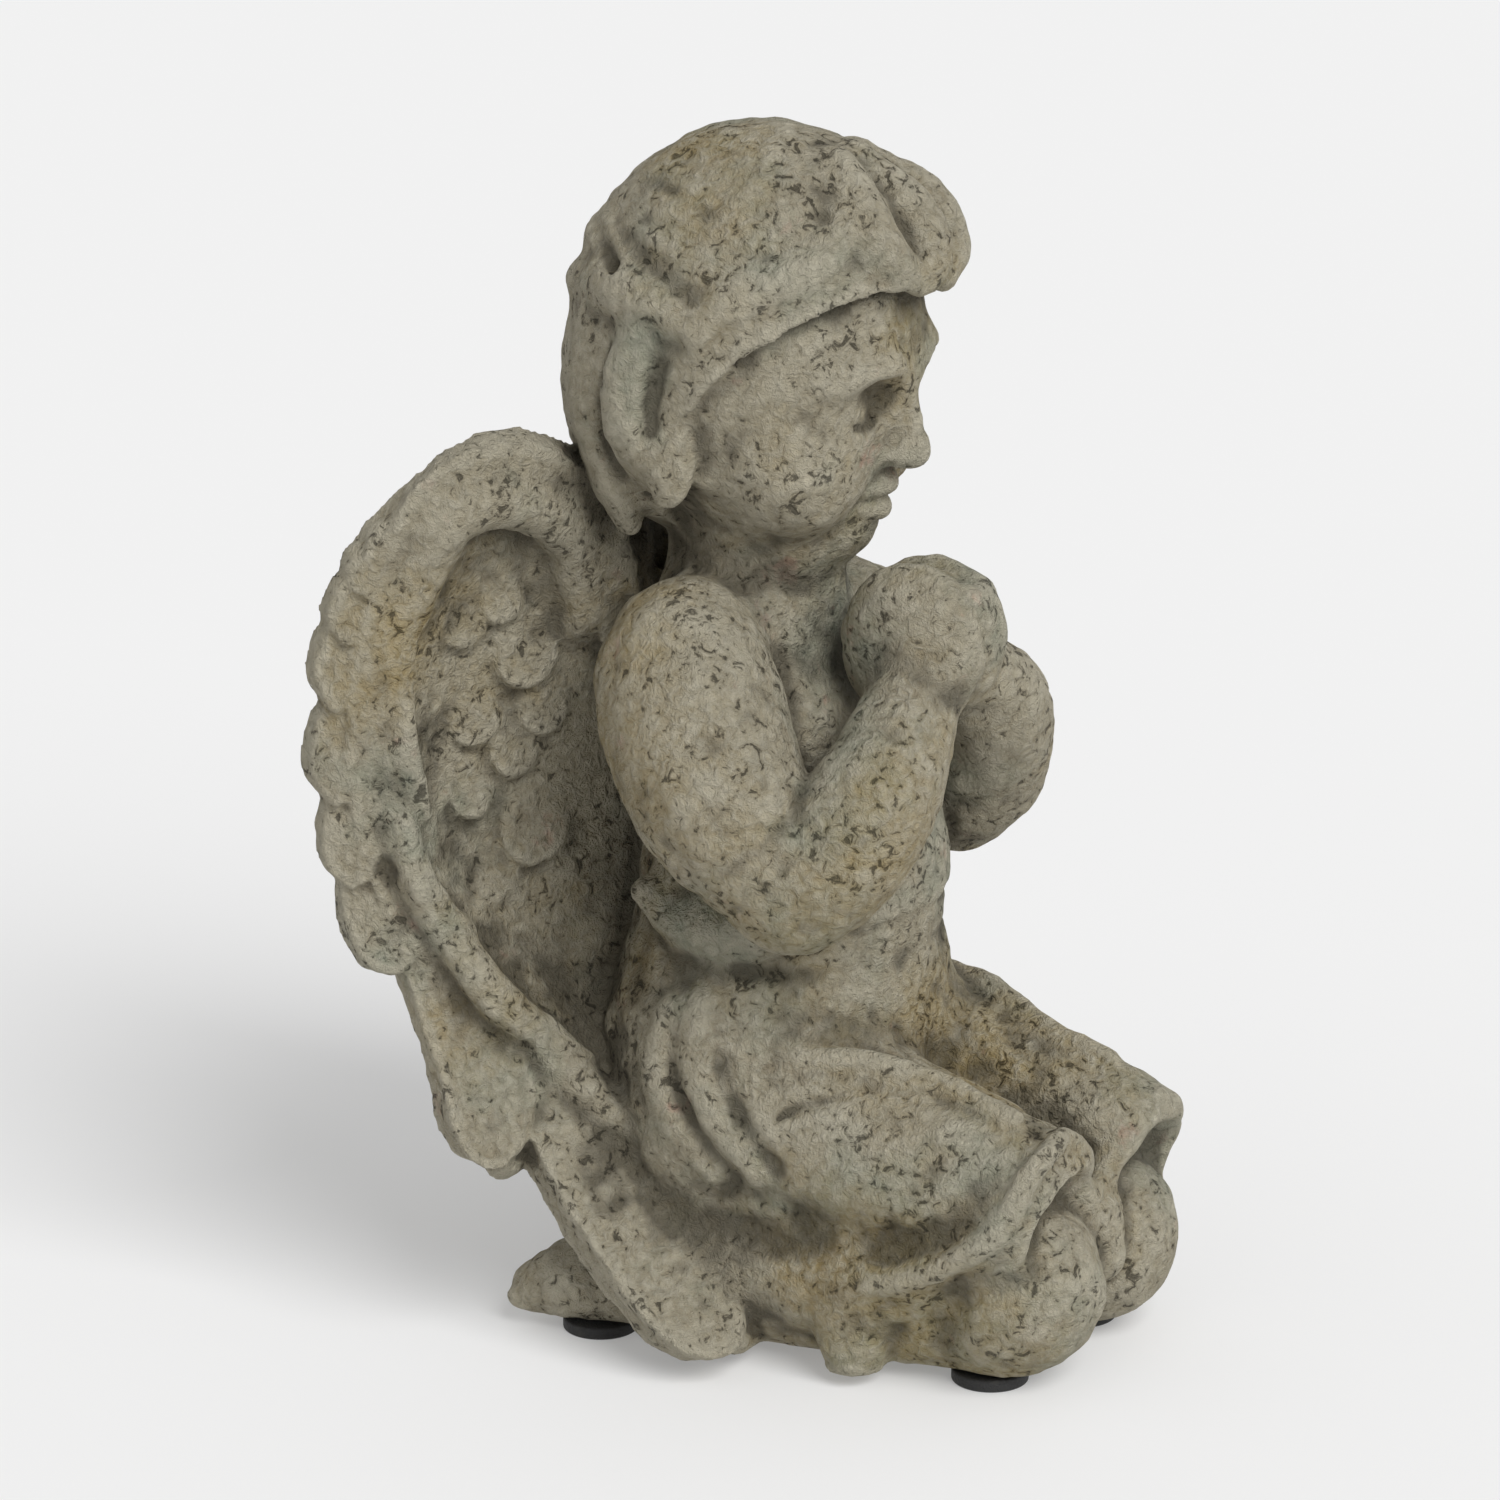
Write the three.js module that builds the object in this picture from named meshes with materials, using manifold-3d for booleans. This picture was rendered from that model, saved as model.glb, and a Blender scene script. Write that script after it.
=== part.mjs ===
// Kneeling praying putto with wings: one solid casting of cement stone on four rubber pads.
// Millimetres, +Z up, the figure faces -Y, origin on the ground under the middle of its box.
import * as THREE from 'three';
import { mergeVertices } from 'three/addons/utils/BufferGeometryUtils.js';
import Module from 'manifold-3d';

const wasm = await Module();
wasm.setup();

// ---------- driving dimensions ----------
const PAD_HEIGHT = 4;
const PAD_RADIUS = 12;
const PAD_SIDES = 20;
const GAP = 0.3; // between the casting and its pads
const BASE = PAD_HEIGHT + GAP; // the flat underside of the casting
const SHIFT = [0, 7.2, 0]; // brings the middle of the box over the origin

const KNEE = [26, -97, 31];
const KNEE_RADIUS = 30;
const HANDS = [-3, -51, 225];

const HEAD = [0, 7, 312];
const HEAD_YAW = 8; // degrees, towards the figure's left
const HEAD_BOW = 10; // degrees, chin down
const HAIR = [59, 62, 60]; // half sizes of the mass of hair
const HAIR_MIDDLE = [0, 2, 5];
const NAPE = [50, 40, 48]; // half sizes of the hair behind the ears
const NAPE_MIDDLE = [0, 18, -16];
const HAIR_LOCKS = 12;
const HAIR_SWIRL = 0.35; // how far the locks wind round the crown, in radians
const CROWN = [0, 0.7, 0.7]; // direction of the whorl of the hair

const WING_TURN = 30; // degrees between each wing's plane and the middle plane of the figure
const WING_THICKNESS = 15;

// ---------- solids ----------
const radians = THREE.MathUtils.degToRad;

function solidOf(geometry) {
  const bare = geometry.clone();
  bare.deleteAttribute('normal');
  bare.deleteAttribute('uv');
  const merged = mergeVertices(bare, 1e-4);
  const mesh = new wasm.Mesh({
    numProp: 3,
    vertProperties: new Float32Array(merged.attributes.position.array),
    triVerts: new Uint32Array(merged.index.array),
  });
  return new wasm.Manifold(mesh);
}

function geometryOf(solid) {
  const mesh = solid.getMesh();
  const geometry = new THREE.BufferGeometry();
  geometry.setAttribute('position', new THREE.BufferAttribute(new Float32Array(mesh.vertProperties), 3));
  geometry.setIndex(new THREE.BufferAttribute(new Uint32Array(mesh.triVerts), 1));
  geometry.computeVertexNormals();
  return geometry;
}

// An ellipsoid of half sizes `size`, turned by Euler angles in degrees.
function ball(place, size, { turn = [0, 0, 0], sides = 10, rows = 6 } = {}) {
  const geometry = new THREE.SphereGeometry(1, sides, rows).rotateX(Math.PI / 2);
  geometry.scale(...size);
  geometry.rotateX(radians(turn[0])).rotateY(radians(turn[1])).rotateZ(radians(turn[2]));
  geometry.translate(...place);
  return solidOf(geometry);
}

// The value a fraction `along` of the way through evenly spaced `values`.
function between(values, along) {
  const station = Math.min(Math.max(along, 0), 1) * (values.length - 1);
  const first = Math.min(Math.floor(station), values.length - 2);
  return THREE.MathUtils.lerp(values[first], values[first + 1], station - first);
}

// A rod through `points` whose radius runs through `radii`; `flats` thin it along `face`.
function limb(points, radii, { face = [0, 0, 1], flats = [1, 1], sides = 8, steps = 2 * points.length - 2 } = {}) {
  const path = new THREE.CatmullRomCurve3(points.map((p) => new THREE.Vector3(...p)));
  const facing = new THREE.Vector3(...face);
  const geometry = new THREE.CylinderGeometry(1, 1, 1, sides, steps);
  const at = geometry.attributes.position;
  for (let i = 0; i < at.count; i += 1) {
    const along = Math.min(Math.max(at.getY(i) + 0.5, 0), 1);
    const radius = between(radii, along);
    const tangent = path.getTangent(along);
    const side = new THREE.Vector3().crossVectors(tangent, facing).normalize();
    const up = new THREE.Vector3().crossVectors(side, tangent);
    const point = path.getPoint(along);
    point.addScaledVector(side, at.getX(i) * radius);
    point.addScaledVector(up, at.getZ(i) * radius * between(flats, along));
    at.setXYZ(i, point.x, point.y, point.z);
  }
  return solidOf(geometry);
}

const mirrored = ([x, y, z], side) => [x * side, y, z];

// ---------- head ----------
const headTurn = new THREE.Matrix4()
  .makeRotationZ(radians(HEAD_YAW))
  .multiply(new THREE.Matrix4().makeRotationX(radians(HEAD_BOW)))
  .setPosition(...HEAD);

const inHead = (p) => new THREE.Vector3(...p).applyMatrix4(headTurn).toArray();

function headBall(place, size, options = {}) {
  return ball(inHead(place), size, { turn: [HEAD_BOW, 0, HEAD_YAW], ...options });
}

// How far a ray from the middle of the head runs inside an ellipsoid.
function reach(ray, [place, size]) {
  const d = new THREE.Vector3(...ray.toArray().map((c, i) => c / size[i]));
  const o = new THREE.Vector3(...place.map((c, i) => c / size[i]));
  const b = d.dot(o);
  const under = b * b - d.lengthSq() * (o.lengthSq() - 1);
  return under < 0 ? 0 : (b + Math.sqrt(under)) / d.lengthSq();
}

// The bare head, with the face towards -y.
const FLESH = [
  [[0, 4, 4], [52, 52, 54]],
  [[0, -6, -20], [50, 40, 45]],
  [[0, -34, -48], [17, 12, 13]],
  [[-20, -26, -30], [23, 20, 22]],
  [[20, -26, -30], [23, 20, 22]],
];

// Elevation of the edge of the hair round the head: high on the brow, low on the nape.
function hairline(azimuth) {
  return 14 - 68 * ((1 - Math.cos(azimuth)) / 2) ** 1.5;
}

// Head and hair as one ball whose poles lie under the whorl of the crown and under the chin,
// so that the locks run along its meridians.
function headForm() {
  const geometry = new THREE.SphereGeometry(1, 3 * HAIR_LOCKS, 16);
  const toCrown = new THREE.Quaternion().setFromUnitVectors(
    new THREE.Vector3(0, 1, 0),
    new THREE.Vector3(...CROWN).normalize(),
  );
  const at = geometry.attributes.position;
  for (let i = 0; i < at.count; i += 1) {
    const meridian = Math.atan2(at.getX(i), at.getZ(i));
    const ray = new THREE.Vector3(at.getX(i), at.getY(i), at.getZ(i)).normalize();
    ray.applyAxisAngle(new THREE.Vector3(0, 1, 0), HAIR_SWIRL * (1 - ray.y)).applyQuaternion(toCrown);
    const elevation = THREE.MathUtils.radToDeg(Math.asin(ray.z));
    const edge = hairline(Math.atan2(ray.x, -ray.y)) + 5 * Math.cos((meridian * HAIR_LOCKS) / 2);
    const locks = Math.cos(meridian * HAIR_LOCKS) * Math.min(1, Math.hypot(at.getX(i), at.getZ(i)) * 1.5);
    const mass = Math.max(reach(ray, [HAIR_MIDDLE, HAIR]), reach(ray, [NAPE_MIDDLE, NAPE]));
    const hair = mass + 2.5 * locks;
    const flesh = Math.max(...FLESH.map((one) => reach(ray, one)));
    ray.multiplyScalar(elevation > edge ? Math.max(hair, flesh) : flesh).applyMatrix4(headTurn);
    at.setXYZ(i, ray.x, ray.y, ray.z);
  }
  return solidOf(geometry);
}

function makeHead() {
  const pieces = [
    headForm(),
    headBall([0, -46, -24], [8, 8, 8], { sides: 8, rows: 5 }), // nose
    headBall([0, -44, -38], [11, 5, 4], { sides: 8, rows: 4 }), // lips
  ];
  for (const side of [-1, 1]) {
    pieces.push(headBall([17 * side, -38, -10], [11, 6, 5], { sides: 8, rows: 4 })); // lid
    pieces.push(headBall([50 * side, 8, -38], [7, 10, 16], { sides: 7, rows: 5 })); // ear
  }
  // the rolled forelock over the brow, and a lock swept back over each temple
  const forelock = [[-4, 12, 62], [-12, -22, 56], [-18, -46, 36], [-16, -54, 16]].map(inHead);
  pieces.push(limb(forelock, [6, 13, 17, 9], { sides: 8, steps: 5 }));
  for (const side of [-1, 1]) {
    const temple = [[34 * side, -34, 22], [50 * side, -10, 12], [54 * side, 18, -2]].map(inHead);
    pieces.push(limb(temple, [4, 10, 5], { sides: 6 }));
  }
  return pieces;
}

// ---------- body ----------
function makeBody() {
  // sections of the trunk from the lap up: height, y of the middle, half width, half depth
  const trunk = [
    [104, -2, 54, 48], [120, -3, 50, 47], [130, -3, 49, 48], [136, -3, 52, 50], [152, -3, 51, 49],
    [170, 1, 49, 44], [188, 6, 50, 38], [206, 10, 51, 35], [224, 12, 49, 34], [240, 11, 39, 33], [262, 8, 30, 30],
  ];
  const points = trunk.map(([z, y]) => [0, y, z]);
  const flats = trunk.map(([, , width, depth]) => depth / width);
  const pieces = [
    limb(points, trunk.map((section) => section[2]), { face: [0, 1, 0], flats, sides: 14, steps: 10 }),
  ];
  for (const side of [-1, 1]) {
    const arm = [[26, 12, 222], [47, 9, 215], [61, -10, 186], [58, -32, 161], [52, -43, 147]];
    pieces.push(limb(arm.map((p) => mirrored(p, side)), [20, 29, 28, 22, 9], { sides: 8, steps: 7 }));
    const forearm = [[58, -32, 150], [47, -47, 170], [15, -54, 205]];
    pieces.push(limb(forearm.map((p) => mirrored(p, side)), [15, 20, 15], { sides: 8, steps: 4 }));
    pieces.push(...makeHand(side));
  }
  return pieces;
}

// One of the two clasped hands: a plump palm, with fingers laid over the other hand.
function makeHand(side) {
  const [x, y, z] = HANDS;
  const pieces = [ball([x + 7 * side, y + 2, z - 3], [13, 22, 20], { turn: [20, 0, 0], sides: 9, rows: 6 })];
  for (let finger = 0; finger < 3; finger += 1) {
    const lift = 12 - 10 * finger;
    const knuckle = [x + 15 * side, y - 4, z + lift];
    const tip = [x - 2 * side, y - 21, z + lift + 1];
    pieces.push(limb([knuckle, [x + 9 * side, y - 17, z + lift + 3], tip], [6, 6, 4], { sides: 5, steps: 2 }));
  }
  return pieces;
}

// ---------- tunic and legs ----------
function makeSkirt() {
  // sections of hips and seat from the ground up: height, y of the middle, half width, half depth
  const seat = [[0, 8, 58, 44], [24, 10, 62, 47], [50, 8, 63, 48], [76, 5, 63, 49], [100, 1, 58, 49], [124, -2, 49, 47]];
  const points = seat.map(([z, y]) => [0, y, z]);
  const flats = seat.map(([, , width, depth]) => depth / width);
  const pieces = [
    limb(points, seat.map((section) => section[2]), { face: [0, 1, 0], flats, sides: 14, steps: 6 }),
    limb([[0, -20, 34], [0, -96, 24]], [40, 22], { sides: 6, steps: 1 }), // stone left between the legs
  ];
  for (const side of [-1, 1]) {
    const thigh = [[30, -10, 76], [28, -55, 67], [26, -103, 55]].map((p) => mirrored(p, side));
    pieces.push(limb(thigh, [40, 35, 29], { sides: 10 }));
    pieces.push(ball(mirrored(KNEE, side), [29, KNEE_RADIUS, KNEE_RADIUS], { sides: 11, rows: 7 }));
    // the cloth that hangs from the thigh down the outer side, and the leg under it
    const outer = [[44, -88, 44], [45, -50, 32], [44, -10, 28]].map((p) => mirrored(p, side));
    pieces.push(limb(outer, [16, 19, 18], { sides: 7, steps: 3 }));
    const leg = [[30, -92, 22], [36, -40, 20], [44, 10, 21], [55, 40, 17], [60, 59, 12]];
    pieces.push(limb(leg.map((p) => mirrored(p, side)), [20, 19, 19, 14, 7], { sides: 8, steps: 6 }));
    pieces.push(...makeFolds(side));
  }
  return pieces;
}

// Rolls of cloth: the hem over the knee and down the side, and folds swept over hip and thigh.
function makeFolds(side) {
  const hem = [[6, -100, 74], [22, -124, 80], [40, -114, 82], [55, -106, 62], [60, -84, 46], [60, -60, 30], [58, -50, 8]];
  const folds = [
    { points: [[44, -36, 98], [59, -30, 74], [60, -66, 52]], radii: [3, 7, 3] },
    { points: [[53, -4, 108], [65, -4, 76], [61, -40, 42]], radii: [3, 7, 3] },
  ];
  const pieces = [limb(hem.map((p) => mirrored(p, side)), [3, 5, 6, 6, 6, 6, 4], { sides: 5, steps: 8 })];
  for (const fold of folds) {
    pieces.push(limb(fold.points.map((p) => mirrored(p, side)), fold.radii, { sides: 5, steps: 3 }));
  }
  return pieces;
}

// ---------- wings ----------
// A wing is drawn on a plane turned out from the figure's middle: `a` runs back and outwards,
// `z` up, and `out` is the height in front of a cupped middle surface.
function wingDepth(a, z) {
  const low = Math.max(0, (180 - z) / 175) ** 2.2;
  const high = Math.max(0, (z - 220) / 50) ** 2;
  return 0.6 * (a - 50) - 9 + 102 * low + 10 * high;
}

function onWing(side, [a, z], out) {
  const turn = radians(WING_TURN);
  const n = wingDepth(a, z) + out;
  return [side * (a * Math.sin(turn) + n * Math.cos(turn)), a * Math.cos(turn) - n * Math.sin(turn), z];
}

const ARCH = [
  [60, 226], [66, 258], [84, 275], [101, 273], [113, 258], [121, 236], [125, 208],
  [124, 178], [119, 152], [107, 128], [89, 103], [70, 83], [48, 62], [28, 43], [8, 24],
];
const ROOT = [[42, 232], [40, 196], [40, 160], [42, 124], [44, 92], [42, 62], [30, 36], [6, 18]];

// Long feathers, each from its root to its tip, with its half width.
const FEATHERS = [
  { from: [108, 268], to: [126, 256], width: 9 },
  { from: [114, 256], to: [138, 236], width: 11 },
  { from: [119, 240], to: [146, 208], width: 13 },
  { from: [124, 216], to: [147, 178], width: 13 },
  { from: [126, 196], to: [143, 150], width: 13 },
  { from: [124, 174], to: [128, 118], width: 15 },
  { from: [112, 142], to: [86, 58], width: 17 },
  { from: [84, 100], to: [20, 8], width: 19 },
];
const INNER_FEATHERS = [
  { from: [117, 168], to: [98, 132], width: 8 },
  { from: [110, 134], to: [63, 88], width: 9 },
  { from: [72, 86], to: [4, 20], width: 9 },
];

function feather(side, { from, to, width }, rise) {
  const points = [0, 0.4, 0.8, 1].map((t) => {
    const flat = [THREE.MathUtils.lerp(from[0], to[0], t), THREE.MathUtils.lerp(from[1], to[1], t)];
    return onWing(side, flat, THREE.MathUtils.lerp(rise[0], rise[1], t));
  });
  const face = [side * Math.cos(radians(WING_TURN)), -Math.sin(radians(WING_TURN)), 0];
  return limb(points, [width * 0.6, width, width * 0.9, 2], { face, flats: [0.45, 0.45], sides: 6, steps: 3 });
}

// The cupped sheet between the back of the figure and the arch of the wing.
function web(side) {
  const arch = new THREE.SplineCurve(ARCH.map((p) => new THREE.Vector2(...p)));
  const root = new THREE.SplineCurve(ROOT.map((p) => new THREE.Vector2(...p)));
  const geometry = new THREE.BoxGeometry(1, 1, 2, 3, 8, 1);
  const at = geometry.attributes.position;
  for (let i = 0; i < at.count; i += 1) {
    const across = at.getX(i) * side + 0.5;
    const along = 0.5 - at.getY(i);
    const flat = root.getPoint(along).lerp(arch.getPoint(along), across).toArray();
    const out = (at.getZ(i) * WING_THICKNESS) / 2 - 5 * Math.sin(Math.PI * across);
    at.setXYZ(i, ...onWing(side, flat, out));
  }
  return solidOf(geometry);
}

function makeWing(side) {
  const rim = ARCH.map((p) => onWing(side, p, 4));
  const pieces = [web(side)];
  pieces.push(limb(rim, [7, 11, 11, 10, 9, 9, 6], { face: [0, 1, 0], sides: 6, steps: 13 }));
  for (const one of FEATHERS) {
    pieces.push(feather(side, one, [0, -6]));
  }
  for (const one of INNER_FEATHERS) {
    pieces.push(feather(side, one, [9, 9]));
  }
  // round covert feathers, in rows that step in from the arch
  for (let row = 0; row < 3; row += 1) {
    for (let i = 0; i < 3; i += 1) {
      const flat = [106 - 14 * row - 3 * i, 236 - 10 * (row % 2) - 24 * i];
      pieces.push(ball(onWing(side, flat, 1), [10, 8, 14], { turn: [0, 0, 60 * side], sides: 6, rows: 4 }));
    }
  }
  return pieces;
}

// ---------- assembly ----------
function makePutto() {
  const pieces = [...makeHead(), ...makeBody(), ...makeSkirt(), ...makeWing(-1), ...makeWing(1)];
  const whole = pieces.reduce((sum, piece) => sum.add(piece));
  const below = solidOf(new THREE.BoxGeometry(400, 400, 60).translate(0, 0, BASE - 30));
  return whole.subtract(below);
}

const stone = new THREE.MeshStandardMaterial({ color: '#8b887a', roughness: 0.95, metalness: 0 });
const rubber = new THREE.MeshStandardMaterial({ color: '#1b1c1f', roughness: 0.8, metalness: 0 });

const statue = new THREE.Group();
const putto = new THREE.Mesh(geometryOf(makePutto()), stone);
putto.name = 'putto';
putto.position.set(...SHIFT);
statue.add(putto);

const PADS = {
  pad_knee_right: [-30, -90],
  pad_knee_left: [30, -90],
  pad_foot_right: [-54, 36],
  pad_foot_left: [54, 36],
};
for (const [name, [x, y]] of Object.entries(PADS)) {
  const geometry = new THREE.CylinderGeometry(PAD_RADIUS, PAD_RADIUS, PAD_HEIGHT, PAD_SIDES);
  const pad = new THREE.Mesh(geometry, rubber);
  pad.name = name;
  pad.rotation.x = Math.PI / 2;
  pad.position.set(x + SHIFT[0], y + SHIFT[1], PAD_HEIGHT / 2);
  statue.add(pad);
}

export default statue;
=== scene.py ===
import math

import bpy
import numpy as np
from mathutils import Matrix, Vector


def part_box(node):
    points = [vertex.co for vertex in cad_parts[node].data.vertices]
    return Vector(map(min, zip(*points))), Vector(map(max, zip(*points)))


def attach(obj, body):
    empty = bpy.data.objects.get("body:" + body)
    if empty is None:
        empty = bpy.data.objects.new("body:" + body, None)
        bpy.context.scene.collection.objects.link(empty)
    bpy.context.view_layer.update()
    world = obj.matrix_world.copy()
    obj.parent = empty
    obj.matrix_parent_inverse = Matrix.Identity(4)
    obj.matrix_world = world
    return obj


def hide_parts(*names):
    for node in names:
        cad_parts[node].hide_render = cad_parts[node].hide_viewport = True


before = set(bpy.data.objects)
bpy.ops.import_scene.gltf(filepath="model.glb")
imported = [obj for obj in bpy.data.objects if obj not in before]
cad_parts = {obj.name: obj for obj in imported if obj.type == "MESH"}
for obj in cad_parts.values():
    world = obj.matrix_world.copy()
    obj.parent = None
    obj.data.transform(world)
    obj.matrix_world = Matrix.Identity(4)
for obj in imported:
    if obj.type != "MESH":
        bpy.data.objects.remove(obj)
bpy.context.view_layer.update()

MM = 0.001

# ---------- camera ----------
STATUE_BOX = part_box("putto")
CAMERA_TURN = math.radians(-60)  # the figure is seen from its right front
CAMERA_RISE = math.radians(17)
CAMERA_DISTANCE = 1.9
CAMERA_LENS = 146.6
AIM_FROM_MIDDLE = Vector((-0.0077, 0.0157, -0.0105))  # keeps room on the left for the shadow


def make_camera():
    data = bpy.data.cameras.new("camera")
    data.lens = CAMERA_LENS
    data.sensor_width = 36
    camera = bpy.data.objects.new("camera", data)
    bpy.context.scene.collection.objects.link(camera)
    flat = math.cos(CAMERA_RISE)
    back = Vector((math.sin(CAMERA_TURN) * flat, -math.cos(CAMERA_TURN) * flat, math.sin(CAMERA_RISE)))
    low, high = (Vector(corner) for corner in STATUE_BOX)
    camera.location = (low + high) / 2 + AIM_FROM_MIDDLE + back * CAMERA_DISTANCE
    camera.rotation_mode = "QUATERNION"
    camera.rotation_quaternion = (-back).to_track_quat("-Z", "Y")
    bpy.context.scene.camera = camera


make_camera()

# ---------- clay ----------
# The casting is modelled as clay: signed distances in millimetres on a regular grid, negative
# inside, onto which balls, strokes and wings are pressed and from which grooves are cut.
F = np.float32
CELL = 1.3  # size of a grid cell
CLAY_LOW = (-121, -134, -2)
CLAY_HIGH = (121, 123, 388)
FAR = 30.0


def smooth_min(a, b, blend):
    h = np.maximum(blend - np.abs(a - b), 0) * F(1 / blend)
    return np.minimum(a, b) - h * h * F(blend * 0.25)


class Clay:
    """The block of clay."""

    def __init__(self, low, high, cell):
        self.low = np.array(low, float)
        self.cell = cell
        self.count = np.ceil((np.array(high, float) - self.low) / cell).astype(int) + 1
        self.field = np.full(self.count, FAR, F)
        self.rows = [(self.low[i] + cell * np.arange(n)).astype(F) for i, n in enumerate(self.count)]

    def window(self, low, high, margin):
        """The part of the grid between two corners, and the coordinates in it."""
        first = (np.array(low) - margin - self.low) / self.cell
        last = (np.array(high) + margin - self.low) / self.cell
        first = np.clip(np.floor(first).astype(int), 0, self.count - 1)
        last = np.clip(np.ceil(last).astype(int) + 1, first + 1, self.count)
        part = tuple(slice(a, b) for a, b in zip(first, last))
        x, y, z = (self.rows[i][part[i]] for i in range(3))
        return part, (x[:, None, None], y[None, :, None], z[None, None, :])

    def add(self, shape, blend=2.0):
        """Presses a shape onto the clay, with a fillet of about blend."""
        (low, high), distance = shape
        part, at = self.window(low, high, blend + 4)
        self.field[part] = smooth_min(self.field[part], distance(*at), blend)

    def cut(self, shape, blend=2.0):
        """Carves a shape out of the clay."""
        (low, high), distance = shape
        part, at = self.window(low, high, blend + 4)
        self.field[part] = -smooth_min(-self.field[part], distance(*at), blend)


def ball(centre, radii, turn=None):
    """An ellipsoid; turn is a rotation matrix."""
    c = np.array(centre, float)
    r = np.array([radii] * 3 if np.isscalar(radii) else radii, float)
    m = np.eye(3) if turn is None else turn
    span = np.sqrt(((m * r) ** 2).sum(1))

    def distance(x, y, z):
        d = (x - F(c[0]), y - F(c[1]), z - F(c[2]))
        near = slope = F(0)
        for i in range(3):
            q = d[0] * F(m[0, i]) + d[1] * F(m[1, i]) + d[2] * F(m[2, i])
            near = near + (q * F(1 / r[i])) ** 2
            slope = slope + (q * F(1 / r[i] ** 2)) ** 2
        near = np.sqrt(near)
        return near * (near - 1) / np.sqrt(slope + F(1e-12))

    return (c - span, c + span), distance


def curve(points, steps):
    """A smooth curve through the points, as steps + 1 rows."""
    p = np.array(points, float)
    p = np.vstack([2 * p[0] - p[1], p, 2 * p[-1] - p[-2]])
    rows = []
    for u in np.linspace(0, len(p) - 3, steps + 1):
        i = min(int(u), len(p) - 4)
        t = u - i
        a, b, c, d = p[i : i + 4]
        rows.append(b + 0.5 * t * (c - a + t * (2 * a - 5 * b + 4 * c - d + t * (3 * b - a - 3 * c + d))))
    return np.array(rows)


def stroke(points, radii, flat=1.0, face=None):
    """A rod of clay along a smooth curve; radii run along it, and flat thins it along face."""
    steps = max(2, 3 * (len(points) - 1))
    line = curve(points, steps)
    size = np.maximum(curve([[r] for r in radii], steps)[:, 0], 0.3)
    across = None if face is None else np.array(face, float) / np.linalg.norm(face)

    def distance(x, y, z):
        best = None
        for a, b, ra, rb in zip(line[:-1], line[1:], size[:-1], size[1:]):
            ab = b - a
            d = (x - F(a[0]), y - F(a[1]), z - F(a[2]))
            t = d[0] * F(ab[0]) + d[1] * F(ab[1]) + d[2] * F(ab[2])
            t = np.clip(t * F(1 / (ab @ ab + 1e-9)), 0, 1)
            e = [d[i] - t * F(ab[i]) for i in range(3)]
            far = e[0] ** 2 + e[1] ** 2 + e[2] ** 2
            if across is not None:
                lift = e[0] * F(across[0]) + e[1] * F(across[1]) + e[2] * F(across[2])
                far = far + lift**2 * F(1 / flat**2 - 1)
            got = np.sqrt(far) - (F(ra) + t * F(rb - ra))
            best = got if best is None else np.minimum(best, got)
        return best if across is None else best * F(flat**0.5)

    low = (line - size[:, None]).min(0)
    high = (line + size[:, None]).max(0)
    return (low, high), distance


def turned(axis, degrees):
    """A rotation matrix about an axis."""
    a = math.radians(degrees)
    k = np.array(axis, float)
    k /= np.linalg.norm(k)
    m = np.array([[0, -k[2], k[1]], [k[2], 0, -k[0]], [-k[1], k[0], 0]])
    return np.eye(3) + math.sin(a) * m + (1 - math.cos(a)) * m @ m


def mirrored(points, side):
    """Points given for the figure's left side, put on side -1 (its right) or 1 (its left)."""
    return np.array(points, float) * (side, 1, 1)


# ---------- trunk and arms ----------
HANDS = np.array((-3, -52, 225))
SHOULDER_RISE = {-1: 215, 1: 204}  # the figure's left shoulder is held lower
ELBOW_BACK = {-1: 0, 1: 6}  # and its left elbow further back


def model_trunk(clay):
    clay.add(ball((0, 10, 200), (48, 34, 38)))
    clay.add(ball((0, -4, 150), (50, 47, 38)), 16)
    clay.add(stroke([(0, 12, 224), (0, 8, 262)], [29, 27]), 12)
    clay.add(stroke([(0, -2, 132), (0, 0, 104)], [48, 53]), 10)
    clay.add(ball((-22, 12, 228), (22, 20, 14)), 12)
    for side in (-1, 1):
        clay.add(ball(mirrored((20, -20, 192), side), (20, 12, 16)), 12)
        # the wings' roots, joined at the top of the back
        root = mirrored([(6, 56, 250), (10, 54, 232), (14, 46, 206), (16, 40, 178)], side)
        clay.add(stroke(root, [9, 10, 10, 7]), 7)


def model_arm(clay, side):
    top = SHOULDER_RISE[side]
    back = ELBOW_BACK[side]
    arm = [(30, 12, top + 8), (47, 9, top), (60, -10, 187), (58, -31 + back / 2, 162)]
    clay.add(stroke(mirrored(arm, side), [20, 28, 28, 21]), 4)
    forearm = [(57, -37 + back, 158), (53, -47 + back, 168), (44, -56 + back, 185), (29, -57, 200), (14, -54, 213)]
    clay.add(stroke(mirrored(forearm, side), [20, 21, 20, 17, 14]), 3)
    # the pinched skin of the armpit and of the bent elbow
    clay.cut(ball(mirrored((38, -28, 187), side), (3, 5, 7)), 5)
    clay.cut(stroke(mirrored([(62, -38, 178), (48, -38, 186), (40, -42, 194)], side), [1, 3, 2]), 5)


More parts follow.
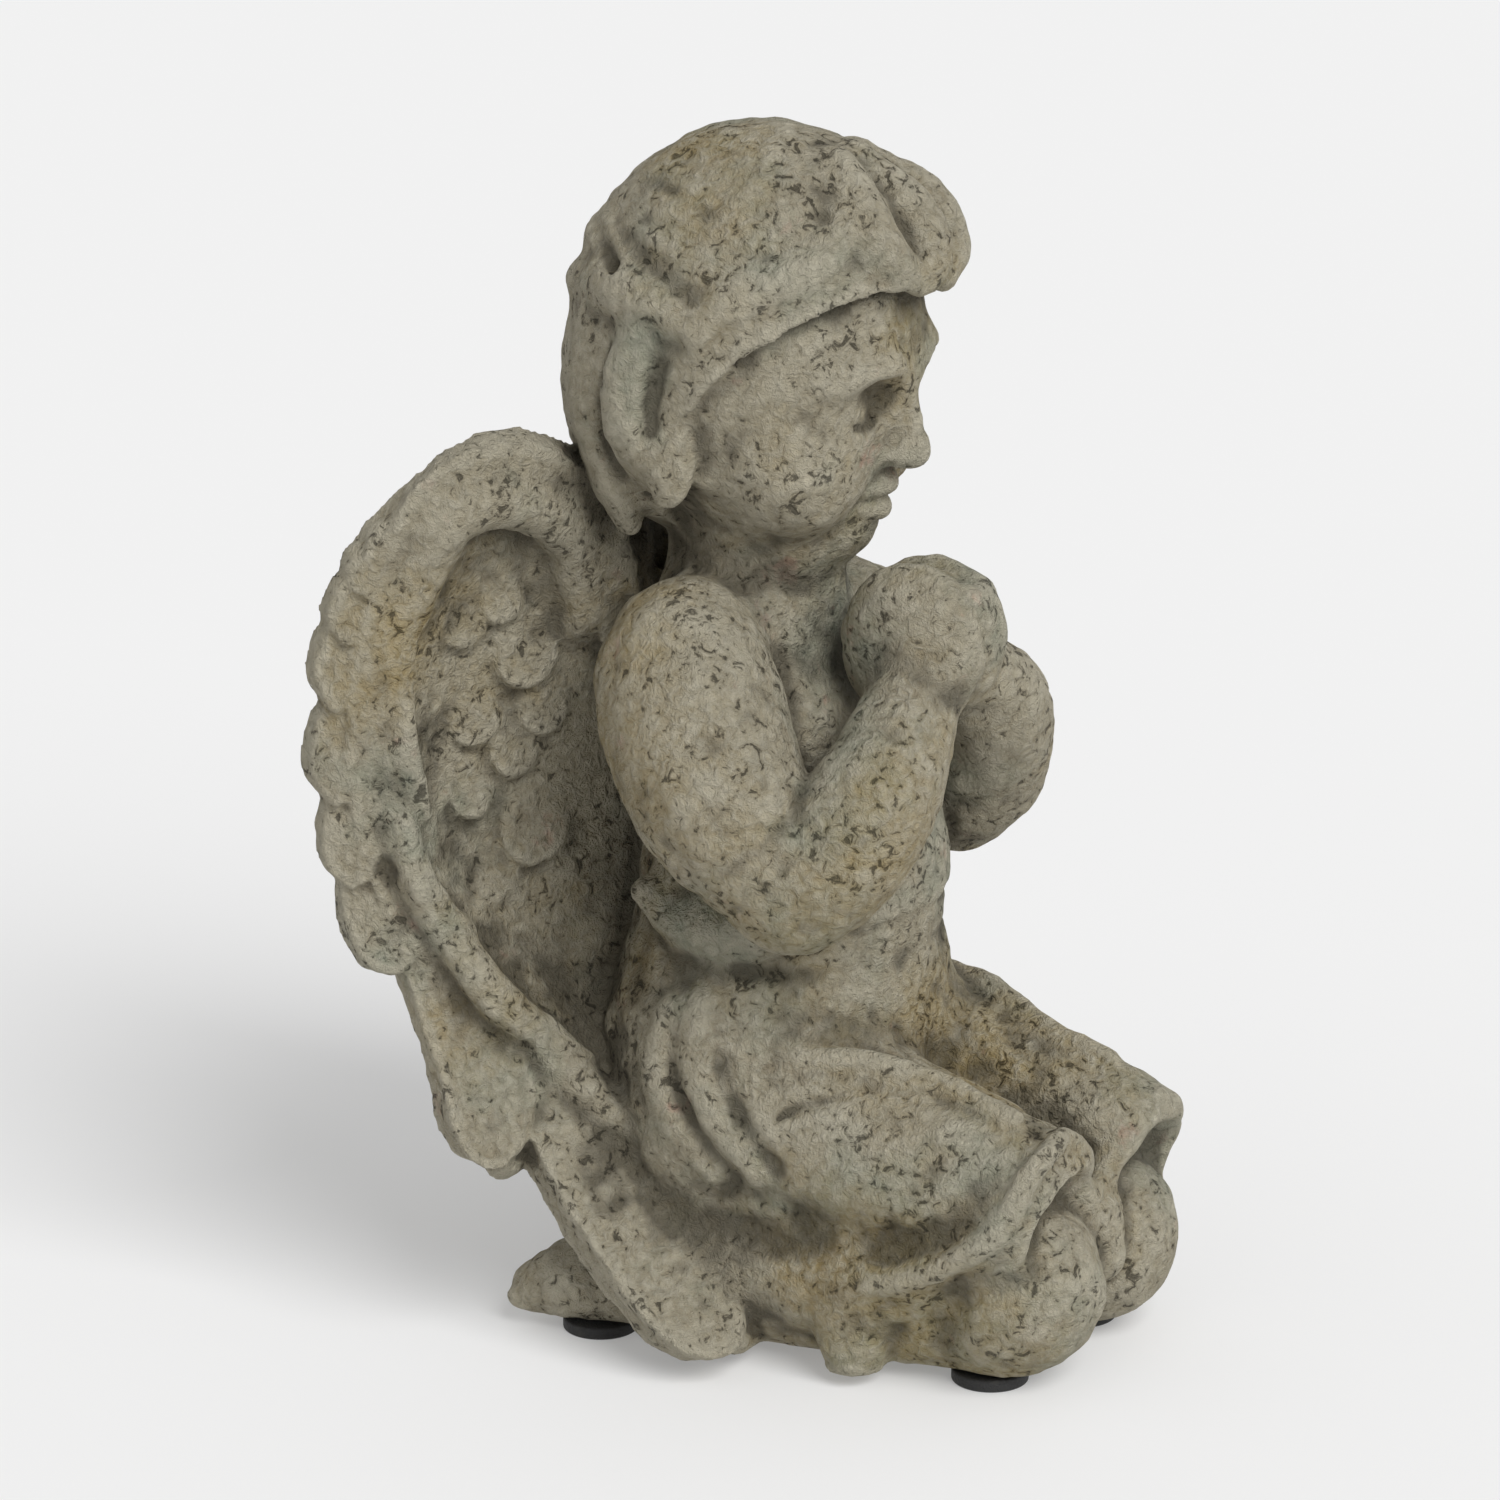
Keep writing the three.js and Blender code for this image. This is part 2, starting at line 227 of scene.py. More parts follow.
def model_hands(clay):
    x, y, z = HANDS
    for side in (-1, 1):
        palm = turned((1, 0, 0), 12)
        clay.add(ball((x + 7 * side, y + 1, z), (14, 24, 25), palm), 5)
        for finger in range(4):
            rise = 13 - 8 * finger
            reach = math.sqrt(22**2 - rise**2)
            knuckle = (x + 13 * side, y - reach / 4, z + rise)
            bend = (x + 9 * side, y - reach * 0.7, z + rise + 2)
            tip = (x + 1 * side, y - reach * 0.85, z + rise + 2)
            clay.add(stroke([knuckle, bend, tip], [4.6, 4.4, 4]), 3)
        thumb = [(x + 9 * side, y + 16, z - 4), (x + 9 * side, y + 15, z + 8), (x + 4 * side, y + 9, z + 17)]
        clay.add(stroke(thumb, [6, 6, 5]), 4)


# ---------- tunic ----------
def model_tunic(clay):
    # hips and the seat on the heels
    clay.add(ball((0, 2, 94), (57, 50, 34)), 12)
    clay.add(stroke([(0, 6, 78), (0, 12, 30)], [62, 62], 0.76, (0, 1, 0)), 12)
    for side in (-1, 1):
        thigh = mirrored([(31, -6, 76), (30, -52, 66), (29, -98, 59)], side)
        clay.add(stroke(thigh, [36, 33, 27]), 9)
        # the cloth that hangs from the thigh to the ground
        skirt = mirrored([(42, -92, 46), (44, -52, 32), (42, -12, 28)], side)
        clay.add(stroke(skirt, [14, 19, 20]), 8)
        pouch = mirrored([(52, -58, 24), (52, -56, 12), (50, -54, 4)], side)
        clay.add(stroke(pouch, [9, 10, 9]), 6)
        clay.cut(ball(mirrored((27, -130, 50), side), (29, 24, 24)), 3)
    # the cloth between the thighs
    clay.add(stroke([(0, -70, 66), (0, -104, 50), (0, -112, 36)], [16, 13, 10]), 8)


def model_folds(clay, side):
    """The troughs and rolls of cloth over one hip and thigh."""
    for points, radii, blend in TROUGHS:
        clay.cut(stroke(mirrored(points, side), radii), blend)
    for points, radii, blend in ROLLS:
        clay.add(stroke(mirrored(points, side), radii), blend)


TROUGHS = [
    # under the thigh, from the hip to the knee
    ([(66, -2, 72), (67, -22, 57), (66, -50, 51), (63, -74, 51), (60, -96, 58)], [3, 4, 4.5, 3.5, 1.5], 10),
    # beside the hip
    ([(61, 5, 110), (64, 5, 96), (66, -4, 79), (67, -18, 64)], [2, 3, 3.5, 3], 4),
    ([(61, -10, 112), (63, -12, 98), (65, -20, 82), (66, -34, 68)], [2, 3, 3.5, 2], 5),
    # the crease along the top of the thigh
    ([(58, -34, 96), (53, -42, 100), (42, -58, 99), (36, -78, 93), (38, -100, 87)], [0.5, 1.4, 1.6, 1.3, 0.5], 4),
    ([(60, -32, 84), (58, -40, 90), (52, -50, 92)], [1, 2, 1], 3),
    # between the thighs
    ([(0, -62, 92), (0, -84, 80), (1, -104, 66)], [4, 6, 5], 8),
]
ROLLS = [
    ([(56, 9, 112), (59, 11, 95), (61, 4, 79), (63, -10, 63)], [2, 3.6, 4, 2], 7),
    ([(55, -2, 116), (59, -2, 101), (61, -11, 83), (62, -26, 67)], [2, 3.6, 4, 2], 7),
    ([(50, -34, 102), (41, -54, 101), (32, -76, 94), (32, -100, 88)], [1, 3, 3, 2], 7),
    ([(48, 24, 145), (49, 10, 137), (50, -6, 137), (46, -24, 141)], [4, 6, 6, 4], 9),
]
HEM = [
    (6, -108, 64), (16, -115, 76), (28, -115, 83), (40, -117, 83), (48, -114, 77), (53, -111, 69), (57, -105, 58),
    (59, -95, 50), (60, -82, 42), (60, -66, 36), (60, -56, 30), (58, -50, 20), (55, -54, 6),
]


HEM_RISE = {-1: 1, 1: 0.87}  # the hem hangs lower over the left knee


def model_hem(clay, side):
    hem = mirrored(HEM, side) * (1, 1, HEM_RISE[side])
    clay.add(stroke(hem, [2.5, 3, 3.4] + [3.4] * 8 + [4.5, 4]), 6)
    # the recess between the hem and the knee
    clay.cut(stroke(mirrored([(58, -96, 36), (56, -88, 26), (54, -84, 16)], side), [4, 6, 4]), 6)


def model_belt(clay):
    for height, size, depth in ((137.5, (50, 49), 1.3), (127, (50.5, 50), 1.5)):
        points = [(size[0] * math.sin(t), -3 - size[1] * math.cos(t), height + 3 * math.cos(t) - 3)
                  for t in np.radians(np.arange(-80, 81, 16))]
        clay.cut(stroke(points, [depth] * len(points)), 2.5)


def model_legs(clay, side):
    knee = mirrored((26, -96, 31), side)
    clay.add(ball(knee, (28, 30, 29)), 3)
    shin = mirrored([(30, -90, 22), (37, -40, 20), (44, 8, 21)], side)
    clay.add(stroke(shin, [19, 18, 18]), 3)
    foot = mirrored([(47, 14, 22), (55, 38, 18), (60, 56, 12)], side)
    clay.add(stroke(foot, [18, 15, 9]), 5)
    heel = mirrored((44, 36, 30), side)
    clay.add(ball(heel, (10, 12, 9)), 5)
    for toe in range(5):
        place = mirrored((67 - 4.2 * toe, 58 - 1.6 * toe, 10), side)
        clay.add(ball(place, (3.4 + 0.3 * toe, 6, 4.2 + 0.3 * toe)), 1.5)


# ---------- head ----------
HEAD = np.array((0, 7, 312))
HEAD_TURN = turned((0, 0, 1), 8) @ turned((1, 0, 0), 10)  # a little to its left, and bowed


def on_head(points):
    return np.array(points, float) @ HEAD_TURN.T + HEAD


def head_ball(place, size):
    return ball(on_head(place), size, HEAD_TURN)


def head_stroke(points, radii, flat=1.0, face=None):
    return stroke(on_head(points), radii, flat, None if face is None else HEAD_TURN @ np.array(face, float))


def model_face(clay):
    clay.add(head_ball((0, 2, 2), (52, 51, 54)), 4)
    clay.add(head_ball((0, -8, -20), (46, 38, 42)), 10)
    clay.add(head_ball((0, -36, -50), (12, 9, 9)), 8)
    clay.add(head_ball((0, -22, -57), (24, 16, 8)), 6)
    for side in (-1, 1):
        clay.add(head_ball(mirrored((24, -25, -29), side), (22, 20, 21)), 8)
        brow = mirrored([(6, -46, 2), (20, -45, 6), (36, -34, 2)], side)
        clay.add(head_stroke(brow, [3, 4, 3]), 8)
        clay.cut(head_ball(mirrored((21, -48, -5), side), (13, 7, 8)), 6)
        clay.add(head_ball(mirrored((21, -35, -8), side), (10, 8, 6.5)), 2)
        lid = mirrored([(11, -42, -11), (20, -44, -13), (31, -36, -10)], side)
        clay.cut(head_stroke(lid, [0.6, 1.0, 0.6]), 1.5)
        clay.add(head_ball(mirrored((6, -47, -23), side), (4.5, 5, 4)), 3)
        clay.cut(head_ball(mirrored((9, -50, -26), side), (2, 3, 1.6)), 2)
        clay.cut(head_ball(mirrored((14, -45, -38), side), (3, 4, 2.6)), 3)
        clay.add(head_ball(mirrored((50, 6, -32), side), (5, 8, 13)), 4)
    clay.add(head_stroke([(0, -44, -2), (0, -49, -12), (0, -52, -20)], [4, 4.5, 5.5]), 5)
    clay.add(head_ball((0, -52, -22), (6.5, 6, 5.5)), 3)
    clay.add(head_stroke([(-11, -42, -36), (0, -46.5, -34.5), (11, -42, -36)], [2, 3.6, 2]), 2.5)
    clay.add(head_stroke([(-8, -42, -42), (0, -45.5, -42.5), (8, -42, -42)], [2, 3.6, 2]), 2.5)
    clay.cut(head_stroke([(-13, -45, -38), (0, -51, -38.5), (13, -45, -38)], [1, 1, 1]), 1.5)


def model_hair(clay):
    # the mass of hair, open in front of the hairline
    opening = head_ball((0, -42, -36), (90, 60, 70))
    clay.add(without(head_ball((0, 3, 6), (56, 59, 61)), opening), 3)
    clay.add(without(head_ball((0, 18, -16), (51, 42, 48)), opening), 8)
    for points, radii, flat in SIDE_LOCKS:
        for side in (-1, 1):
            out = np.array(points[len(points) // 2], float) - (0, 4, 0)
            clay.add(head_stroke(mirrored(points, side), radii, flat, out * (side, 1, 1)), 3)
    for points, radii in FORELOCK:
        clay.add(head_stroke(points, radii), 4)
    for points, radii, blend in HAIR_GROOVES:
        for side in (-1, 1):
            clay.cut(head_stroke(mirrored(points, side), radii), blend)


def without(shape, other):
    """A shape with another taken out of it."""
    return shape[0], lambda x, y, z: np.maximum(shape[1](x, y, z), -other[1](x, y, z))


SIDE_LOCKS = [
    # the swept fringe, from the parting over the temple to its tip
    ([(18, -22, 54), (30, -28, 45), (42, -22, 35), (50, -10, 28), (54, 0, 18), (55, 2, 9)], [3, 5, 6, 7, 6, 3], 0.8),
    # the lock behind it, that ends on the temple
    ([(22, 52, 10), (42, 36, 16), (51, 18, 17), (55, 5, 13)], [8, 9, 8, 4], 0.8),
    # the bump of hair at the back, over it
    ([(12, 54, 22), (26, 45, 27), (38, 34, 26)], [7, 8, 4], 0.8),
    # the hairline in front of the ear, and the curl that ends on it
    ([(50, 0, 4), (48, -6, 4), (47, 2, -6), (46, 12, -12), (44, 14, -22), (43, 8, -30), (42, -3, -35)],
     [4, 4, 4, 5, 5, 5, 3], 1.0),
    ([(50, 22, 4), (50, 24, -14), (47, 20, -30), (42, 8, -42)], [8, 9, 8, 5], 0.8),
    ([(36, 42, 0), (38, 38, -22), (37, 30, -42), (32, 24, -58)], [8, 10, 9, 5], 0.8),
    ([(14, 52, 0), (16, 50, -24), (16, 42, -44), (10, 34, -58)], [8, 10, 9, 5], 0.8),
]
FORELOCK = [
    ([(-8, -16, 61), (-17, -30, 50), (-20, -40, 41), (-13, -46, 36)], [6, 8, 8, 5]),
    ([(2, -18, 61), (2, -38, 49), (-2, -48, 38), (-9, -49, 32)], [6, 9, 8, 4]),
    ([(10, -16, 60), (20, -34, 49), (20, -45, 38), (8, -50, 31)], [6, 9, 8, 5]),
    ([(24, -14, 54), (36, -25, 43), (38, -34, 33), (28, -43, 29)], [6, 8, 8, 5]),
]
HAIR_GROOVES = [
    # strands swept from the crown towards the fringe
    ([(12, 24, 65), (28, 8, 63), (38, -10, 56)], [1, 2.4, 1], 3),
    ([(10, 40, 59), (30, 24, 57), (43, 4, 52)], [1, 2.6, 1], 3),
    ([(24, 44, 48), (38, 24, 49), (47, 2, 46), (43, -12, 46)], [1, 2.6, 2.4, 1], 3),
    ([(34, 42, 36), (45, 24, 40), (51, 4, 40), (47, -14, 40)], [1, 2.8, 2.6, 1], 3),
    ([(30, 48, 34), (43, 35, 32), (52, 20, 29), (57, 6, 24)], [1.5, 2.6, 2.6, 1.5], 4),
    # strands down the back and behind the ear
    ([(20, 58, 32), (34, 48, 27), (46, 34, 21)], [1.5, 3, 1.5], 3),
    ([(10, 60, 14), (12, 59, -10), (8, 50, -34)], [1, 2.8, 1.5], 3),
    ([(48, 30, 0), (49, 30, -22), (44, 24, -42)], [1, 2.4, 1.5], 4),
    ([(55, 12, 0), (54, 14, -10), (52, 14, -22)], [0.8, 1.2, 0.8], 4),
    ([(28, 51, -2), (29, 47, -24), (26, 39, -44)], [1, 3, 1.5], 3),
    ([(42, 6, -33), (40, 10, -40), (38, 16, -46)], [1.5, 2.4, 1.5], 2),
]


# ---------- wings ----------
# A wing is drawn on an upright plane turned 30 degrees out from the figure's middle plane: a runs
# back and outwards, z up, and heights are counted from a cupped sheet towards the front.
WING_TURN = math.radians(30)
ARCH = [
    (60, 226), (66, 256), (84, 274), (101, 270), (110, 251), (116, 229), (119, 208),
    (120, 188), (117, 164), (107, 140), (91, 117), (70, 92), (48, 70), (26, 52), (4, 32),
]
ROOT = [(20, 232), (20, 196), (20, 160), (20, 124), (20, 92), (20, 62), (12, 36), (-4, 18)]


def wing_depth(a, z):
    low = np.maximum(0, (180 - z) / 175) ** 2.2
    high = np.maximum(0, (z - 220) / 50) ** 2
    return 0.6 * (a - 50) - 9 + 102 * low + 10 * high


def on_wing(points, side):
    """Points (a, z, height) of a wing, in space."""
    rows = []
    for a, z, height in points:
        n = wing_depth(a, z) + height
        x = a * math.sin(WING_TURN) + n * math.cos(WING_TURN)
        rows.append((side * x, a * math.cos(WING_TURN) - n * math.sin(WING_TURN), z))
    return rows


def along_line(a, z, points, steps=16):
    """For each place: distance to a curve, how far along it, and which side (1 is its left)."""
    line = curve(points, steps)
    best = np.full(a.shape, 1e9)
    where, left = np.zeros(a.shape), np.ones(a.shape)
    for i, (p, q) in enumerate(zip(line[:-1], line[1:])):
        d = q - p
        t = np.clip(((a - p[0]) * d[0] + (z - p[1]) * d[1]) / (d @ d), 0, 1)
        ea, ez = a - p[0] - t * d[0], z - p[1] - t * d[1]
        far = np.hypot(ea, ez)
        nearer = far < best
        best = np.where(nearer, far, best)
        where = np.where(nearer, (i + t) / steps, where)
        left = np.where(nearer, np.where(d[0] * ez - d[1] * ea > 0, 1.0, -1.0), left)
    return best, where, left


def inside_polygon(a, z, points):
    """Distance inside a closed outline, negative outside it."""
    best = np.full(a.shape, 1e9)
    inside = np.zeros(a.shape, bool)
    for p, q in zip(points, np.roll(points, -1, 0)):
        d = q - p
        t = np.clip(((a - p[0]) * d[0] + (z - p[1]) * d[1]) / (d @ d), 0, 1)
        best = np.minimum(best, np.hypot(a - p[0] - t * d[0], z - p[1] - t * d[1]))
        crosses = (p[1] > z) != (q[1] > z)
        reach = p[0] + (z - p[1]) * d[0] / (d[1] if abs(d[1]) > 1e-9 else 1e-9)
        inside ^= crosses & (a < reach)
    return np.where(inside, best, -best)


def blade(a, z, points, width, tip=0.3):
    """A feather: distance inside its outline, how far along it, and how far across (0 to 1)."""
    far, t, left = along_line(a, z, points, 10)
    shape = np.where(t > 1 - tip, np.sqrt(np.clip(1 - ((t - 1 + tip) / tip) ** 2, 0, 1)), 1)
    shape = np.maximum(shape, 0.12) * (0.75 + 0.25 * np.minimum(1, t * 3))
    return width * shape - far, t, left * far / (width * shape)


OUTER_FEATHERS = [
    ([(96, 268), (110, 268), (121, 263)], 8),
    ([(104, 266), (118, 262), (128, 253)], 9),
    ([(108, 262), (124, 254), (132, 243)], 10),
    ([(114, 250), (130, 242), (136, 227)], 11),
    ([(120, 240), (134, 228), (139, 206)], 12),
    ([(124, 216), (136, 200), (139, 176)], 13),
    ([(126, 192), (134, 172), (134, 149)], 13),
    ([(124, 170), (128, 146), (120, 121)], 14),
    ([(114, 136), (96, 98), (88, 64)], 17),
    ([(80, 92), (47, 48), (14, 11)], 18),
]
COVERTS = [
    (100, 227, 7), (88, 233, 7), (81, 214, 10), (111, 205, 5), (97, 196, 8),
    (85, 184, 8), (110, 175, 6), (76, 196, 8), (79, 158, 11), (98, 172, 7), (92, 146, 8),
]


def wing_relief():
    """Heights of a wing's front and back over its plane, on a grid of whole millimetres."""
    a, z = np.meshgrid(np.arange(-30.0, 165), np.arange(-12.0, 300), indexing="ij")
    far, _, left = along_line(a, z, ARCH, 40)
    out = far * left  # beyond the arch
    web = inside_polygon(a, z, np.array(ROOT + ARCH[::-1], float)) + 4
    steep = 2.5
    front = np.minimum(-3 + 11 * np.exp(-((out / 9) ** 2)), -3 + 11 + web * steep)
    front = np.where(web > 0, front, web * steep)
    front = np.where((out > 0) & (out < 15), np.maximum(front, 8 - 0.35 * out), front)
    back = np.full(a.shape, -13.0)
    # round covert feathers inside the arch, each standing proud at its lower edge
    for ca, cz, size in sorted(COVERTS, key=lambda one: one[1]):
        inside = size - np.hypot(a - ca, (z - cz) * np.where(z > cz, 0.6, 1))
        rise = -2.5 + 4.5 * np.clip((cz + size - z) / (2 * size), 0, 1)
        front = np.maximum(front, rise + np.minimum(0, (inside - 1) * steep))
    # long feathers outside the arch, each stepping over the next one down
    band = np.full(a.shape, -50.0)
    for points, width in OUTER_FEATHERS:
        inside, t, across = blade(a, z, points, width)
        d = np.maximum(out, 0) * (0.3 + 0.7 * np.clip((z - 60) / 80, 0, 1))
        slope = 8 - 0.35 * d - 0.008 * d**2 + 5 * np.clip((90 - z) / 60, 0, 1)
        front = np.maximum(front, slope - 2.5 + 5 * t + np.minimum(0, (inside - 4) * steep))
        band = np.maximum(band, inside)
        back = np.where(inside > -2, np.minimum(back, slope - 9 + 2 * np.abs(across) - 2 * t), back)
    front = np.maximum(front, slope - 0.5 + np.minimum(0, (band - 4) * steep))
    # the back: rows of long feathers under rounded ones
    for row in range(9):
        start = (56 + 9 * row, 210 - 5 * row)
        end = (8 + 16 * row, 2 + row * row * 1.9)
        middle = ((start[0] + end[0]) / 2 + 14, (start[1] + end[1]) / 2)
        inside, t, across = blade(a, z, [start, middle, end], 11)
        feather = -12.5 - 4.5 * t - 1.2 * (1 - np.abs(across))
        back = np.where(inside > 0, np.minimum(back, feather), back)
    for tier in range(3):
        for i in range(5):
            ca, cz = 48 + 15 * i + 7 * (tier % 2), 250 - 22 * tier - 3 * i
            inside = 11 - np.hypot(a - ca, (z - cz) * np.where(z > cz, 0.6, 1))
            rise = -13 - 4.5 * np.clip((cz + 11 - z) / 22, 0, 1)
            back = np.where(inside > 0, np.minimum(back, rise), back)
    return front, back


def model_wing(clay, side, relief):
    front, back = relief
    part, (x, y, z) = clay.window((-118 if side < 0 else 4, -60, -2), (-4 if side < 0 else 118, 118, 292), 0)
    ax = x * F(side)
    a = ax * F(math.sin(WING_TURN)) + y * F(math.cos(WING_TURN)) + 0 * z
    n = ax * F(math.cos(WING_TURN)) - y * F(math.sin(WING_TURN)) - wing_depth(a, z)
    ga, gz = np.clip(a + 30, 0, front.shape[0] - 1.01), np.clip(z + 12, 0, front.shape[1] - 1.01) + 0 * a
    ia, iz = ga.astype(int), gz.astype(int)
    ta, tz = ga - ia, gz - iz

    def heights(grid):
        low = grid[ia, iz] * (1 - ta) + grid[ia + 1, iz] * ta
        high = grid[ia, iz + 1] * (1 - ta) + grid[ia + 1, iz + 1] * ta
        return low * (1 - tz) + high * tz

    slope = F(0.72)
    sheet = np.maximum(n - heights(front), heights(back) - n) * slope
    clay.field[part] = smooth_min(clay.field[part], sheet.astype(F), 4)
    for points, radii in INNER_ROLLS:
        clay.add(stroke(on_wing(points, side), radii), 3)


INNER_ROLLS = [
    ([(117, 207, 8), (116, 189, 8), (112, 172, 6)], [3, 4, 2.5]),
    ([(119, 170, 8), (113, 148, 9), (100, 133, 7)], [5, 6, 4]),
    ([(110, 142, 8), (90, 112, 9), (63, 90, 8)], [6, 7, 4]),
    ([(76, 96, 6), (46, 66, 8), (20, 44, 9), (0, 24, 7)], [6, 7, 7, 4]),
    ([(66, 222, 0), (67, 246, 1), (75, 263, 2), (90, 270, 2), (103, 266, 2), (110, 252, 2), (115, 234, 2)],
     [4, 6, 9, 10, 10, 8, 5]),
]


# ---------- the whole casting ----------
UNDERSIDE = 4.3  # the casting's flat underside, above the ground


def model_putto():
    clay = Clay(CLAY_LOW, CLAY_HIGH, CELL)
    model_trunk(clay)
    model_tunic(clay)
    relief = wing_relief()
    for side in (-1, 1):
        model_wing(clay, side, relief)
    for side in (-1, 1):
        model_legs(clay, side)
        model_folds(clay, side)
        model_hem(clay, side)
    model_belt(clay)
    for side in (-1, 1):
        model_arm(clay, side)
    model_hands(clay)
    model_face(clay)
    model_hair(clay)
    z = clay.rows[2][None, None, :]
    clay.field = np.maximum(clay.field, F(UNDERSIDE) - z)
    clay.field[:, -1], clay.field[:, 0], clay.field[0], clay.field[-1] = FAR, FAR, FAR, FAR
    return clay


def surface(clay):
    """The surface of the clay, as vertices and quads (surface nets)."""
    inside = clay.field < 0
    parts = [slice(None, -1), slice(1, None)]
    total = sum(inside[i, j, k].astype(np.uint8) for i in parts for j in parts for k in parts)
    cells = (total > 0) & (total < 8)
    at = np.argwhere(cells)
    number = np.full(cells.shape, -1, np.int64)
    number[cells] = np.arange(len(at))
    offsets = np.array([[i, j, k] for i in (0, 1) for j in (0, 1) for k in (0, 1)])
    corner = np.stack([clay.field[tuple((at + o).T)] for o in offsets], 1)
    place, seen = np.zeros((len(at), 3)), np.zeros(len(at))
    for one in range(8):
        for two in range(one + 1, 8):
            if np.abs(offsets[one] - offsets[two]).sum() != 1:
                continue
            va, vb = corner[:, one], corner[:, two]
            crosses = (va < 0) != (vb < 0)
            t = np.where(crosses, va / np.where(crosses, va - vb, 1), 0)[:, None]
            place += np.where(crosses[:, None], offsets[one] + (offsets[two] - offsets[one]) * t, 0)
            seen += crosses
    vertices = clay.low + (at + place / seen[:, None]) * clay.cell
    quads = []
    for axis in range(3):
        u, v = [i for i in range(3) if i != axis]
        near, far = [slice(None)] * 3, [slice(None)] * 3
        near[axis], far[axis] = parts
        one, two = inside[tuple(near)], inside[tuple(far)]
        g = np.argwhere(one != two)
        g = g[(g[:, u] > 0) & (g[:, v] > 0)]
        step = np.eye(3, dtype=int)
        q = np.stack([number[tuple((g - s).T)] for s in (0 * step[u], step[u], step[u] + step[v], step[v])], 1)
        backwards = one[tuple(g.T)] == (axis == 1)
        q[backwards] = q[backwards][:, ::-1]
        quads.append(q)
    return vertices, np.vstack(quads)
# ---------- end of clay ----------

# ---------- surface of the casting ----------
TRIANGLES = 196_000
DRAWING_SHIFT = 7.2  # from the drawing's middle to the middle of the box, front to back
BOX_MARGIN = 0.1


def lattice_noise(points, size, seed):
    """Smooth noise from -1 to 1 with features of about the given size in millimetres."""
    n = 48
    lattice = (np.random.default_rng(seed).random((n, n, n)) * 2 - 1).astype(F)
    at = points / size + 1000
    whole = np.floor(at).astype(int)
    t = at - whole
    t = t * t * (3 - 2 * t)
    value = 0
    for corner in np.ndindex(2, 2, 2):
        weight = np.prod(np.where(corner, t, 1 - t), 1)
        i = (whole + corner) % n
        value = value + weight * lattice[i[:, 0], i[:, 1], i[:, 2]]
    return value


def softened(field, cells):
    """A field blurred by running means, twice along each axis."""
    for axis in (0, 1, 2) * 2:
        ahead = np.moveaxis(field, axis, 0)
        total = np.cumsum(np.pad(ahead, ((cells + 1, cells), (0, 0), (0, 0)), mode="edge"), 0, dtype=F)
        field = np.moveaxis((total[2 * cells + 1 :] - total[: -2 * cells - 1]) / (2 * cells + 1), 0, axis)
    return field


def sample(clay, field, points):
    """The value of a field at points, in millimetres."""
    at = np.clip((points - clay.low) / clay.cell, 0, np.array(field.shape) - 1.001)
    whole = at.astype(int)
    t = at - whole
    value = 0
    for corner in np.ndindex(2, 2, 2):
        i = whole + corner
        value = value + np.prod(np.where(corner, t, 1 - t), 1) * field[i[:, 0], i[:, 1], i[:, 2]]
    return value


def vertex_rows(mesh, name):
    rows = np.empty(len(mesh.vertices) * 3, F)
    (mesh.vertices if name == "co" else mesh.vertex_normals).foreach_get(name, rows)
    return rows.reshape(-1, 3).astype(float)


def make_mesh(name, vertices, faces):
    mesh = bpy.data.meshes.new(name)
    sides = faces.shape[1]
    mesh.vertices.add(len(vertices))
    mesh.vertices.foreach_set("co", np.asarray(vertices, F).ravel())
    mesh.loops.add(faces.size)
    mesh.loops.foreach_set("vertex_index", faces.ravel().astype(np.int32))
    mesh.polygons.add(len(faces))
    mesh.polygons.foreach_set("loop_start", np.arange(0, faces.size, sides, dtype=np.int32))
    mesh.update(calc_edges=True)
    mesh.validate()
    mesh.shade_smooth()
    return mesh


def add_object(name, mesh):
    thing = bpy.data.objects.new(name, mesh)
    bpy.context.scene.collection.objects.link(thing)
    return thing


def make_casting():
    clay = model_putto()
    vertices, quads = surface(clay)
    low, high = (np.array(corner) / MM for corner in STATUE_BOX)
    mesh = make_mesh("putto_carved", vertices, quads)
    normals = vertex_rows(mesh, "vector")
    worn = 0.6 * lattice_noise(vertices, 14, 1) + 0.5 * lattice_noise(vertices, 6.5, 2)
    worn += 0.35 * lattice_noise(vertices, 3.6, 3)
    worn = np.where(vertices[:, 2] > UNDERSIDE + 1, worn, 0) - 0.2
    vertices = vertices + normals * worn[:, None]
    vertices[:, 2] = np.maximum(vertices[:, 2], UNDERSIDE)
    mesh.vertices.foreach_set("co", vertices.astype(F).ravel())
    casting = add_object("putto_carved", mesh)
    triangles = 2 * len(quads)
    if triangles > TRIANGLES:
        lighter = casting.modifiers.new("lighter", "DECIMATE")
        lighter.ratio = TRIANGLES / triangles
        lighter.use_collapse_triangulate = True
        seen = casting.evaluated_get(bpy.context.evaluated_depsgraph_get())
        mesh = bpy.data.meshes.new_from_object(seen)
        casting.modifiers.clear()
        casting.data = mesh
        mesh.name = "putto_carved"
    vertices = vertex_rows(mesh, "co")
    for name, reach in (("hollow", 2.6), ("crease", 7.0)):
        soft = softened(clay.field, max(1, round(reach / clay.cell)))
        value = np.clip(sample(clay, soft, vertices) / reach, -1, 1)
        mesh.attributes.new(name, "FLOAT", "POINT").data.foreach_set("value", value.astype(F))
    # the drawing's middle goes to the middle of the CAD box, and nothing stands out of that box
    vertices = vertices + (0, DRAWING_SHIFT, 0)
    middle, half = (low + high) / 2, (high - low) / 2 - BOX_MARGIN
    fit = np.minimum(1, half / np.abs(vertices - middle).max(0)) * (1, 1, 0) + (0, 0, 1)
    vertices = middle + (vertices - middle) * fit
    mesh.vertices.foreach_set("co", (vertices * MM).astype(F).ravel())
    mesh.update()
    return casting


